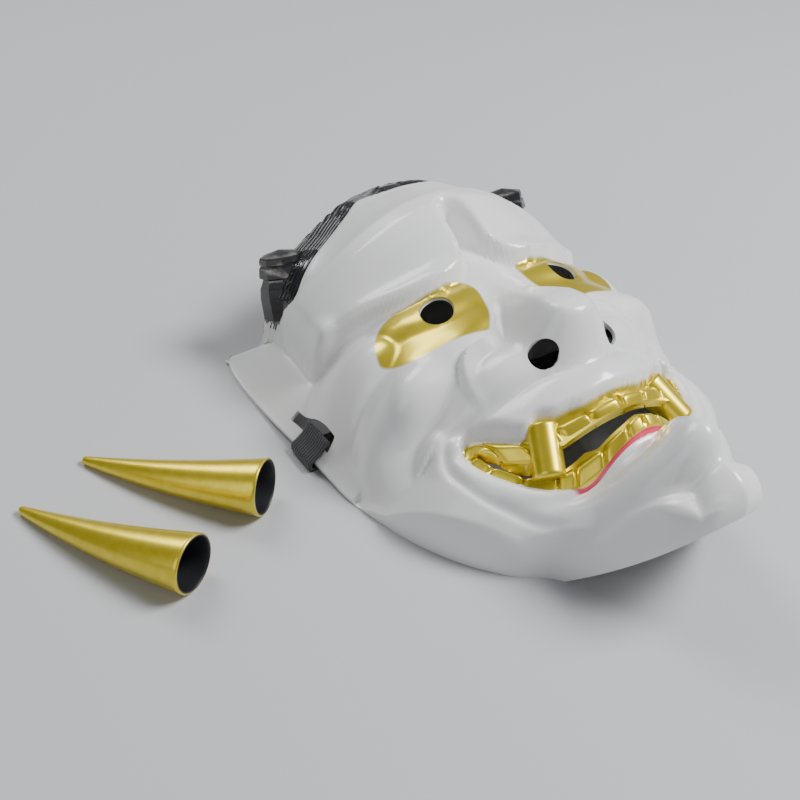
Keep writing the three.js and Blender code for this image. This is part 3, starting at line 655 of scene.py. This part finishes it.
def holeOutlines():
    px, py = openings["pupil"]
    pupilMiddle = (px, py, float(faceHeight(px, py)))
    pupil = boreOutline(pupilMiddle, openings["pupilAxis"], openings["pupilRadius"], -5, 5)
    nostril = boreOutline(openings["nostril"], openings["nostrilAxis"], openings["nostrilRadius"], 0, 16)
    w, h = openings["slotSize"]
    turn = math.radians(openings["slotTurn"])
    slot = []
    for u, v in ((-1, -1), (1, -1), (1, 1), (-1, 1)):
        a, b = u * w / 2, v * h / 2
        slot.append((openings["slotAt"][0] + a * math.cos(turn) + b * math.sin(turn),
                     openings["slotAt"][1] - a * math.sin(turn) + b * math.cos(turn)))
    holes = [outline * (side, 1) for outline in (pupil, nostril, np.array(slot)) for side in (1, -1)]
    mouth = np.array(upperEdge + lowerEdge)
    farMouth = (mouth * (-1, 1))[::-1][1:-1]
    return holes + [np.vstack([mouth, farMouth])]


def planGrid(acrossSteps, upSteps):
    s, t = np.meshgrid(np.linspace(-1, 1, acrossSteps + 1), np.linspace(-1, 1, upSteps + 1), indexing="ij")
    u, v = s * np.sqrt(1 - t * t / 2), t * np.sqrt(1 - s * s / 2)
    angle = np.arctan2(v, u)
    edge = np.interp(np.arctan2(np.sin(angle), np.abs(np.cos(angle))), *rimTable)
    reach = np.sin(np.minimum(1, np.hypot(u, v)) * math.pi / 2) * edge
    return reach * np.cos(angle), face["middleY"] + reach * np.sin(angle), reach / edge


def pullToLine(x, y, free, line, pull):
    found = nearest(np.abs(x), y, line)
    near = free & (found["distance"] < pull) & (found["share"] > 0) & (found["share"] < 1)
    return np.where(near, np.sign(x) * found["x"], x), np.where(near, found["y"], y)


def gridFaces(shape):
    index = np.arange(shape[0] * shape[1]).reshape(shape)
    a, b = index[:-1, :-1].ravel(), index[1:, :-1].ravel()
    c, d = index[1:, 1:].ravel(), index[:-1, 1:].ravel()
    return np.stack([a, b, c, d], axis=1)


def cutHoles(x, y, quads):
    middleX, middleY = x[quads].mean(axis=1), y[quads].mean(axis=1)
    keep = np.ones(len(quads), bool)
    for outline in holeOutlines():
        inside = insideOutline(middleX, middleY, outline)
        gone, left = np.unique(quads[inside & keep]), np.unique(quads[keep & ~inside])
        edge = np.intersect1d(gone, left)
        found = nearest(x[edge], y[edge], np.vstack([outline, outline[:1]]))
        x[edge], y[edge] = found["x"], found["y"]
        keep &= ~inside
    return quads[keep]


def innerSkin(outerPoints, quads):
    normals = np.zeros_like(outerPoints)
    p = outerPoints[quads]
    facing = np.cross(p[:, 2] - p[:, 0], p[:, 3] - p[:, 1])
    for k in range(4):
        np.add.at(normals, quads[:, k], facing)
    length = np.linalg.norm(normals, axis=1, keepdims=True)
    normals /= np.where(length > 1e-9, length, 1)
    innerPoints = outerPoints - normals * face["sheet"]
    rim = rimHeight(np.abs(outerPoints[:, 0]), outerPoints[:, 1])
    innerPoints[:, 2] = np.maximum(innerPoints[:, 2], np.minimum(outerPoints[:, 2], rim))
    return innerPoints


def rimStrips(quads, count):
    edges = np.concatenate([quads[:, [k, (k + 1) % 4]] for k in range(4)])
    key = np.sort(edges, axis=1)
    _, first, seen = np.unique(key[:, 0] * count + key[:, 1], return_index=True, return_counts=True)
    border = edges[first[seen == 1]]
    return np.stack([border[:, 1], border[:, 0], border[:, 0] + count, border[:, 1] + count], axis=1)


def paintDepths(points, outside):
    px, py = np.abs(points[:, 0]), points[:, 1]
    gum = nearest(px, py, gumLine)
    gumDepth = -gum["distance"] * gum["side"]
    redRun = easeBetween(0.60, 0.63, gum["share"]) * (1 - easeBetween(27, 29, px))
    brow = nearest(px, py, browLine)
    underBrow = 0.4 - brow["distance"] * brow["side"]
    band = nearest(px, py, hairLine)
    hairDepth = band["distance"] * band["side"]
    crown = 60 * easeBetween(72, 77, py) * easeBetween(75, 71, px)
    aboveEar = points[:, 2] - openings["hairFoot"] + crown
    hairDepth = np.where((px > 64) & (py > 52), np.minimum(hairDepth, aboveEar), hairDepth)
    return {
        "outside": np.maximum(outside, gumDepth > 0.5),
        "eyeDepth": np.minimum(signedDepth(px, py, eyeOutline), underBrow),
        "gumDepth": gumDepth - 1.2 * easeBetween(28, 38, px),
        "hairDepth": hairDepth,
        "redRun": redRun,
    }


def buildShell():
    x, y, reach = planGrid(face["acrossSteps"], face["upSteps"])
    quads = gridFaces(x.shape)
    x, y, reach = x.ravel(), y.ravel(), reach.ravel()
    free = (reach < 0.95) & (np.abs(x) > 0.3)
    x, y = pullToLine(x, y, free, hairLine, face["hairPull"])
    quads = cutHoles(x, y, quads)
    outerPoints = np.stack([x, y, faceHeight(x, y)], axis=1)
    count = len(outerPoints)
    points = np.concatenate([outerPoints, innerSkin(outerPoints, quads)])
    faces = np.concatenate([quads, quads[:, ::-1] + count, rimStrips(quads, count)])

    used = np.unique(faces)
    renumber = np.full(len(points), -1)
    renumber[used] = np.arange(len(used))
    points, faces = points[used], renumber[faces]
    depths = paintDepths(points, (used < count).astype(float))
    piece = addPiece("maskFace", points, faces, paint["shell"], depths, sharp=48)
    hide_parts("mask_shell")


buildShell()
print("shell built")


# hair: moulded locks that follow the hair line over the forehead's edge
locks = {
    "offsets": (1.4, 3.0, 4.8, 6.6, 8.6, 10.6, 12.8, 15.0, 17.4),
    "run": 0.88, "steps": 130, "within": 0.985,
    "radius": 0.0011, "tip": 0.00005, "taper": 0.05, "swellScale": 160.0, "sides": 8,
    "sink": 0.0007, "waver": 0.0012, "waverScale": 55.0,
}


def lockPlan():
    g = Grower("hairLocks", ("Radius", "Waver", "Waver Scale", "Sink"))
    line = g.make("GeometryNodeMeshToCurve", None, {"Mesh": g.given["Geometry"]})
    place = g.make("GeometryNodeInputPosition")
    cloud = g.make("ShaderNodeTexNoise", None, {
        "Vector": place, "Scale": g.given["Waver Scale"]}, out="Color")
    centred = g.make("ShaderNodeVectorMath", {"operation": "SUBTRACT"}, [cloud, (0.5, 0.5, 0.5)])
    waver = g.make("ShaderNodeVectorMath", {"operation": "SCALE"}, {
        0: centred, "Scale": g.given["Waver"] * 2})
    down = g.make("ShaderNodeCombineXYZ", None, {"Z": g.given["Sink"] * -1})
    offset = g.make("ShaderNodeVectorMath", {"operation": "ADD"}, [waver, down])
    moved = g.make("GeometryNodeSetPosition", None, {"Geometry": line, "Offset": offset})
    share = g.make("GeometryNodeSplineParameter", out="Factor")
    ends = g.ease(share, 0, locks["taper"]) * g.ease(share, 1, 1 - locks["taper"])
    swell = g.make("ShaderNodeTexNoise", None, {"Vector": place, "Scale": locks["swellScale"]}) * 0.8 + 0.6
    thick = g.given["Radius"] * swell * ends + locks["tip"]
    ring = g.make("GeometryNodeCurvePrimitiveCircle", None, {"Resolution": locks["sides"], "Radius": 1.0})
    tube = g.make("GeometryNodeCurveToMesh", None, {
        "Curve": moved, "Profile Curve": ring, "Scale": thick, "Fill Caps": True})
    soft = g.make("GeometryNodeSetShadeSmooth", None, {"Geometry": tube})
    return g.close(soft, paint["hair"])


def buildLocks():
    line = hairLine[hairLine[:, 0] > 0]
    step = np.gradient(line, axis=0)
    step /= np.linalg.norm(step, axis=1, keepdims=True)
    outward = np.stack([-step[:, 1], step[:, 0]], axis=1)
    run = np.linspace(0, 1, len(line))
    share = np.linspace(0, locks["run"], locks["steps"])
    points, edges = [], []
    for side in (-1, 1):
        for offset in locks["offsets"]:
            at = line + outward * offset
            x, y = np.interp(share, run, at[:, 0]), np.interp(share, run, at[:, 1])
            edge = np.interp(np.arctan2(y - face["middleY"], x), *coreTable)
            kept = np.flatnonzero(np.hypot(x, y - face["middleY"]) < locks["within"] * edge)
            z = faceHeight(x, y)
            first = len(points)
            points += [(side * x[k], y[k], z[k]) for k in kept]
            edges += [(first + n, first + n + 1) for n in np.flatnonzero(np.diff(kept) == 1).tolist()]
    sizes = {"Radius": locks["radius"], "Waver": locks["waver"], "Waver Scale": locks["waverScale"],
             "Sink": locks["sink"]}
    growPiece("hairLocks", points, edges, lockPlan(), sizes)


buildLocks()
print("hair grown")


# teeth: boxy blocks with a ridge along them, and the two blunt fangs
teeth = {
    "upperGaps": (0, 0.205, 0.4, 0.6, 0.805, 0.985),
    "lowerGaps": (0, 0.1, 0.245, 0.4, 0.49, 0.68, 0.87, 0.99),
    "gap": 0.28,
    "proud": 2.3,
    "sink": 3.0,
    "ridgeAt": -0.1,
    "mouthFall": 3.6,
    "gumFall": 1.9,
    "fangTop": (26, -60.5, 41),
    "fangTip": (33, -76.5, 31),
    "fangRadius": 6.6,
    "fangRound": 0.9,
    "shoulder": 2.2,
}


def alongLine(line, share):
    run = np.concatenate([[0], np.cumsum(np.linalg.norm(np.diff(line, axis=0), axis=1))])
    return tuple(np.interp(share * run[-1], run, line[:, k]) for k in (0, 1))


def toothMesh(quad, upper, steps=14):
    u, v = np.meshgrid(np.linspace(-1, 1, steps + 1), np.linspace(-1, 1, steps + 1), indexing="ij")
    u, v = np.sin(u * math.pi / 2), np.sin(v * math.pi / 2)
    corners = np.array(quad, float)
    s, t = ((u + 1) / 2)[..., None], ((v + 1) / 2)[..., None]
    plan = ((1 - s) * (1 - t) * corners[0] + s * (1 - t) * corners[1]
            + s * t * corners[2] + (1 - s) * t * corners[3])
    middle = corners.mean(axis=0)
    width = np.linalg.norm(corners[1] + corners[2] - corners[0] - corners[3]) / 2
    plan = middle + (plan - middle) * (1 - 2 * teeth["gap"] / max(width, 2))
    base = teethHeight(np.abs(plan[..., 0]), np.full_like(u, middle[1] + (4 if upper else -4)))
    fromMouth = (v if upper else -v) - teeth["ridgeAt"]
    fall = np.where(fromMouth < 0, teeth["mouthFall"], teeth["gumFall"]) * np.abs(fromMouth) ** 1.2
    side = (1 - np.abs(u) ** 9) ** 0.5
    z = base + teeth["proud"] - fall - (1 - side) * teeth["shoulder"]
    top = np.stack([plan[..., 0], plan[..., 1], z], axis=-1).reshape(-1, 3)
    low = top.copy()
    low[:, 2] = np.minimum(base.ravel() - teeth["sink"], low[:, 2] - 0.4)
    n = steps + 1
    index = np.arange(n * n).reshape(n, n)
    quads = gridFaces((n, n))
    faces = [quads, quads[:, ::-1] + n * n]
    loop = np.concatenate([index[:-1, 0], index[-1, :-1], index[:0:-1, -1], index[0, :0:-1]])
    after = np.roll(loop, -1)
    faces.append(np.stack([after, loop, loop + n * n, after + n * n], axis=1))
    return np.concatenate([top, low]), np.concatenate(faces)


def fangMesh(side, rings=22, around=36):
    top, tip = (np.array(teeth[k], float) * (side, 1, 1) for k in ("fangTop", "fangTip"))
    along = tip - top
    length = np.linalg.norm(along)
    along /= length
    one = np.cross(along, (0, 0, 1))
    one /= np.linalg.norm(one)
    two = np.cross(one, along)
    points, faces = [top], []
    for share in np.sin(np.linspace(0, 1, rings) * math.pi / 2) ** 2:
        fromEnd = min(share, 1 - share) * length
        rounding = teeth["fangRound"] * max(0, 1 - fromEnd / teeth["fangRound"]) ** 2
        radius = teeth["fangRadius"] * (1 - 0.08 * share) - rounding
        for k in range(around):
            turn = 2 * math.pi * k / around
            out = math.cos(turn) * one + math.sin(turn) * two
            points.append(top + along * length * share + radius * out)
    points.append(tip)
    for k in range(around):
        m = (k + 1) % around
        faces.append((0, 1 + k, 1 + m))
        for i in range(rings - 1):
            r = 1 + i * around
            faces.append((r + k, r + around + k, r + around + m, r + m))
        last = 1 + (rings - 1) * around
        faces.append((last + k, len(points) - 1, last + m))
    return np.array(points), faces


def buildTeeth():
    turnAt = int(np.argmax(gumLine[:, 0]))
    upperGum, lowerGum = gumLine[:turnAt + 1], gumLine[turnAt:][::-1]
    upperGum, lowerGum = upperGum[upperGum[:, 0] >= 0], lowerGum[lowerGum[:, 0] >= 0]
    rows = ((teeth["upperGaps"], upperGum, np.array(upperEdge, float), True),
            (teeth["lowerGaps"], np.array(lowerEdge[::-1], float), lowerGum, False))
    points, faces = [], []
    start = 0

    def keep(newPoints, newFaces):
        nonlocal start
        points.append(newPoints)
        faces.extend([[int(v) + start for v in f] for f in newFaces])
        start += len(newPoints)

    for gaps, top, foot, upper in rows:
        for near, far in zip(gaps[:-1], gaps[1:]):
            quad = [alongLine(line, share)
                    for line, share in ((foot, near), (foot, far), (top, far), (top, near))]
            keep(*toothMesh(quad, upper))
            keep(*toothMesh([(-quad[k][0], quad[k][1]) for k in (1, 0, 3, 2)], upper))
    for side in (-1, 1):
        keep(*fangMesh(side))
    addPiece("teethRows", np.concatenate(points), faces, paint["gold"],
             {"inside": np.zeros(start)}, sharp=60)


buildTeeth()
print("teeth built")


# horns: hollow cones lying on the floor
horns = {
    "base": 22, "length": 74, "wall": 1.2, "tip": 3.2, "bow": 2.0, "flare": 0.92,
    "tips": ((-161.3, 42.2), (-191, 28)), "mouths": ((-113.2, -12.7), (-151.6, -34.8)),
    "rings": 60, "around": 72, "lip": 0.35, "tipDome": 0.012, "boreEnd": 0.2,
}


def buildHorn(name, node, tipAt, mouthAt):
    h = horns
    flat = np.array(mouthAt, float) - tipAt
    dx, dy = flat / np.linalg.norm(flat)
    tipRadius, mouthRadius = h["tip"] / 2, h["base"] / 2
    rise = math.asin((mouthRadius - tipRadius) / h["length"])
    along = np.array([dx * math.cos(rise), dy * math.cos(rise), math.sin(rise)])
    up = np.array([-dx * math.sin(rise), -dy * math.sin(rise), math.cos(rise)])
    side = np.array([dy, -dx, 0])
    start = np.array([*tipAt, 0.0]) + up * tipRadius

    def radiusAt(t):
        return tipRadius + (mouthRadius - tipRadius) * t ** h["flare"]

    def centreAt(t):
        return start + along * h["length"] * t + side * h["bow"] * (1 - (2 * t - 1) ** 2)

    # each ring of the profile: its place along the horn, its radius, and how far inside it is
    lipAt = 1 - h["lip"] / h["length"]
    profile = [(-h["tipDome"] * math.sqrt(1 - s * s), tipRadius * s, 0) for s in (0.02, 0.35, 0.65, 0.88)]
    profile += [(t * lipAt, radiusAt(t), 0) for t in np.linspace(0, 1, h["rings"])]
    profile += [(1 - 0.08 / h["length"], mouthRadius - 0.25, 0.2), (1.0, mouthRadius - 0.5, 0.5),
                (1.0, mouthRadius - h["wall"] + 0.2, 1), (lipAt, mouthRadius - h["wall"], 1)]
    profile += [(t, radiusAt(t) - h["wall"], 1) for t in np.linspace(0.99, h["boreEnd"], h["rings"] // 2)]
    profile.append((h["boreEnd"] - 0.002, 0.05, 1))
    points, inside = [], []
    n = h["around"]
    for t, radius, dark in profile:
        middle = centreAt(t)
        for k in range(n):
            turn = 2 * math.pi * k / n
            points.append(middle + radius * (math.cos(turn) * up + math.sin(turn) * side))
            inside.append(dark)
    faces = []
    for i in range(len(profile) - 1):
        for k in range(n):
            m = (k + 1) % n
            faces.append((i * n + k, i * n + m, (i + 1) * n + m, (i + 1) * n + k))
    for ring, flip in ((0, False), (len(profile) - 1, True)):
        loop = [ring * n + k for k in range(n)]
        faces.append(loop if flip else loop[::-1])
    faces = [tuple(reversed(f)) for f in faces]
    piece = addPiece(name, points, faces, paint["gold"], {"inside": inside}, sharp=50)
    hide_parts(node)


hornNames = (("hornLeft", "horn_left"), ("hornRight", "horn_right"))
for (name, node), tipAt, mouthAt in zip(hornNames, horns["tips"], horns["mouths"]):
    buildHorn(name, node, tipAt, mouthAt)
print("horns built")


# stubs on the forehead, cut in rough facets
stubs = {
    "at": (59.2, 63, 24), "lean": 25, "length": 28, "top": 18, "base": 23.5, "sides": 8,
    "rings": [(0, 0), (9, 0.3), (13, 0.5), (15.5, -0.6), (16.6, -0.9), (17.6, 0.2), (21.5, 0.1),
              (22.3, -0.7), (23.1, 0), (25.3, -0.1), (26, -0.8)],
    "wobble": 0.35, "paintedGlintFrom": 14, "paintedGlint": 0.75, "seed": 5,
}


def buildStub(side):
    s = stubs
    lean = math.radians(s["lean"])
    axis = np.array([0, math.sin(lean), math.cos(lean)])
    at = np.array(s["at"], float) * (side, 1, 1)
    one = np.cross(axis, (side, 0, 0))
    one /= np.linalg.norm(one)
    two = np.cross(axis, one)
    chance = np.random.default_rng(s["seed"])
    rings = s["rings"]
    points, paintedGlint = [], []
    n = s["sides"]
    for along, step in rings:
        radius = (s["base"] + (s["top"] - s["base"]) * along / s["length"]) / 2 + step
        for k in range(n):
            turn = 2 * math.pi * (k + 0.5) / n
            out = math.cos(turn) * one + math.sin(turn) * two
            points.append(at + axis * along + (radius + chance.uniform(-s["wobble"], s["wobble"])) * out)
            # random strength of the painted silver glints on the rings above the lower part, none below
            paintedGlint.append(chance.uniform(0, s["paintedGlint"]) if along > s["paintedGlintFrom"] else 0)
    points.append(at + axis * s["length"])
    paintedGlint.append(0.1)
    points.append(at)
    paintedGlint.append(0)
    faces = []
    for i in range(len(rings) - 1):
        for k in range(n):
            m = (k + 1) % n
            faces.append((i * n + k, i * n + m, (i + 1) * n + m, (i + 1) * n + k))
    last = (len(rings) - 1) * n
    for k in range(n):
        m = (k + 1) % n
        faces.append((last + k, last + m, len(points) - 2))
        faces.append((m, k, len(points) - 1))
    faces = [tuple(reversed(f)) for f in faces]
    addPiece("hornStub" + ("Left" if side < 0 else "Right"), points, faces, paint["stub"],
             {"paintedGlint": paintedGlint}, sharp=20)


for side in (-1, 1):
    buildStub(side)
print("stubs built")


# the elastic
elastic = {
    "width": 15, "thick": 1.2, "at": 3, "gap": 0.8, "tail": 58,
    "floorGap": 0.1, "tailGap": 0.35, "edgeRound": 0.35, "backUv": 20,
}


def strapPath():
    e = elastic
    widths = e["at"] + np.array([-1, -0.5, 0, 0.5, 1]) * e["width"] / 2
    slotAcross = openings["slotAt"][0]

    def earTop(across):
        return float(np.max(faceHeight(np.full(5, across), widths)))

    angle = np.arctan2(widths - face["middleY"], slotAcross)
    edge = float(np.max(np.interp(angle, *rimTable) * np.cos(angle)))
    clear = e["gap"] + e["thick"] / 2
    floorRun = e["floorGap"] + e["thick"] / 2
    tailRun = floorRun + e["thick"] + e["tailGap"]
    inner = slotAcross - 0.1
    back = [edge - share for share in (1.4, 3, 4.6)]
    return ([(0, floorRun), (e["tail"], floorRun), (edge - 2, floorRun),
             (edge + clear - 0.5, floorRun + 0.35), (edge + clear + 0.1, floorRun + 1.6),
             (edge + clear - 0.2, earTop(back[0]) - 0.6)]
            + [(across, earTop(across) + clear + 0.1) for across in back]
            + [(inner, earTop(inner) + 0.2), (inner - 0.4, tailRun + 1.8), (inner - 2, tailRun),
               (e["tail"], tailRun)])


def buildElastic():
    e = elastic
    half = np.array(strapPath(), float)
    line = np.vstack([(half * (-1, 1))[::-1], half[1:]])
    line = smoothLine(line, 6)
    step = np.gradient(line, axis=0)
    step /= np.linalg.norm(step, axis=1, keepdims=True)
    normal = np.stack([-step[:, 1], step[:, 0]], axis=1)
    run = np.concatenate([[0], np.cumsum(np.linalg.norm(np.diff(line, axis=0), axis=1))])
    w, t, r = e["width"] / 2, e["thick"] / 2, e["edgeRound"]
    section = [(-w + r, -t), (w - r, -t), (w, -t + r), (w, t - r),
               (w - r, t), (-w + r, t), (-w, t - r), (-w, -t + r)]
    fine = []
    for (a, b), (c, d) in zip(section, section[1:] + section[:1]):
        parts = 10 if abs(c - a) > 5 else 1
        fine += [(a + (c - a) * k / parts, b + (d - b) * k / parts) for k in range(parts)]
    points, uv = [], []
    for p, q, s in zip(line, normal, run):
        for across, lift in fine:
            points.append((p[0] + q[0] * lift, e["at"] + across, p[1] + q[1] * lift))
            uv.append((s, across + w + (e["backUv"] if lift < 0 else 0)))
    n = len(fine)
    faces = []
    for i in range(len(line) - 1):
        for k in range(n):
            m = (k + 1) % n
            faces.append((i * n + k, i * n + m, (i + 1) * n + m, (i + 1) * n + k))
    faces.append(list(range(n))[::-1])
    faces.append([(len(line) - 1) * n + k for k in range(n)])
    piece = addPiece("elasticBand", points, faces, paint["elastic"], sharp=50, uv=uv)
    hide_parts("elastic_strap")


buildElastic()
print("elastic built")


# stitches that hold each tail of the elastic on the run below it
stitches = {
    "rows": (58.9, 60.6), "pitch": 1.5, "length": 1.1, "radius": 0.16, "lift": 2.95,
    "edge": 1, "slant": 0.35, "sides": 8,
}


def stitchPlan():
    g = Grower("stitchRow", ("Radius", "Length"))
    thread = g.make("GeometryNodeMeshCylinder", None, {
        "Vertices": stitches["sides"], "Radius": g.given["Radius"], "Depth": g.given["Length"]})
    laid = g.make("GeometryNodeTransform", None, {
        "Geometry": thread, "Rotation": (math.pi / 2, 0, stitches["slant"])})
    placed = g.make("GeometryNodeInstanceOnPoints", None, {"Points": g.given["Geometry"], "Instance": laid})
    return g.close(placed, paint["elastic"])


def buildStitches():
    t = stitches
    reach = elastic["width"] / 2 - t["edge"]
    places = np.arange(-reach, reach + 0.01, t["pitch"])
    points = [(side * row, elastic["at"] + p, t["lift"])
              for side in (-1, 1) for row in t["rows"] for p in places]
    sizes = {"Radius": t["radius"] * 0.001, "Length": t["length"] * 0.001}
    growPiece("elasticStitches", points, [], stitchPlan(), sizes)


buildStitches()
print("stitches set")


# floor and light
def addFloor():
    mesh = bpy.data.meshes.new("paleFloor")
    size = 6.0
    corners = [(-size, -size, 0), (size, -size, 0), (size, size, 0), (-size, size, 0)]
    mesh.from_pydata(corners, [], [(0, 1, 2, 3)])
    mesh.materials.append(paint["floor"])
    floor = bpy.data.objects.new("paleFloor", mesh)
    bpy.context.scene.collection.objects.link(floor)


def addLight(name, place, power, size, tint=(1, 1, 1)):
    data = bpy.data.lights.new(name, "AREA")
    data.energy, data.size, data.color = power, size, tint
    lamp = bpy.data.objects.new(name, data)
    lamp.location = place
    lamp.rotation_euler = (Vector((0, 0, 0.03)) - Vector(place)).to_track_quat("-Z", "Y").to_euler()
    bpy.context.scene.collection.objects.link(lamp)


addFloor()
addLight("keySoftbox", (0.75, -0.35, 1.05), 24, 0.5)
addLight("fillSoftbox", (-1.1, -0.3, 0.6), 3, 0.8, (0.97, 0.98, 1))
addLight("backSoftbox", (-0.1, 0.9, 1.0), 8, 0.6)
world = bpy.data.worlds.new("paleRoom")
world.use_nodes = True
background = world.node_tree.nodes["Background"]
background.inputs["Color"].default_value = (0.93, 0.95, 1, 1)
background.inputs["Strength"].default_value = 0.17
bpy.context.scene.world = world
print("light set")
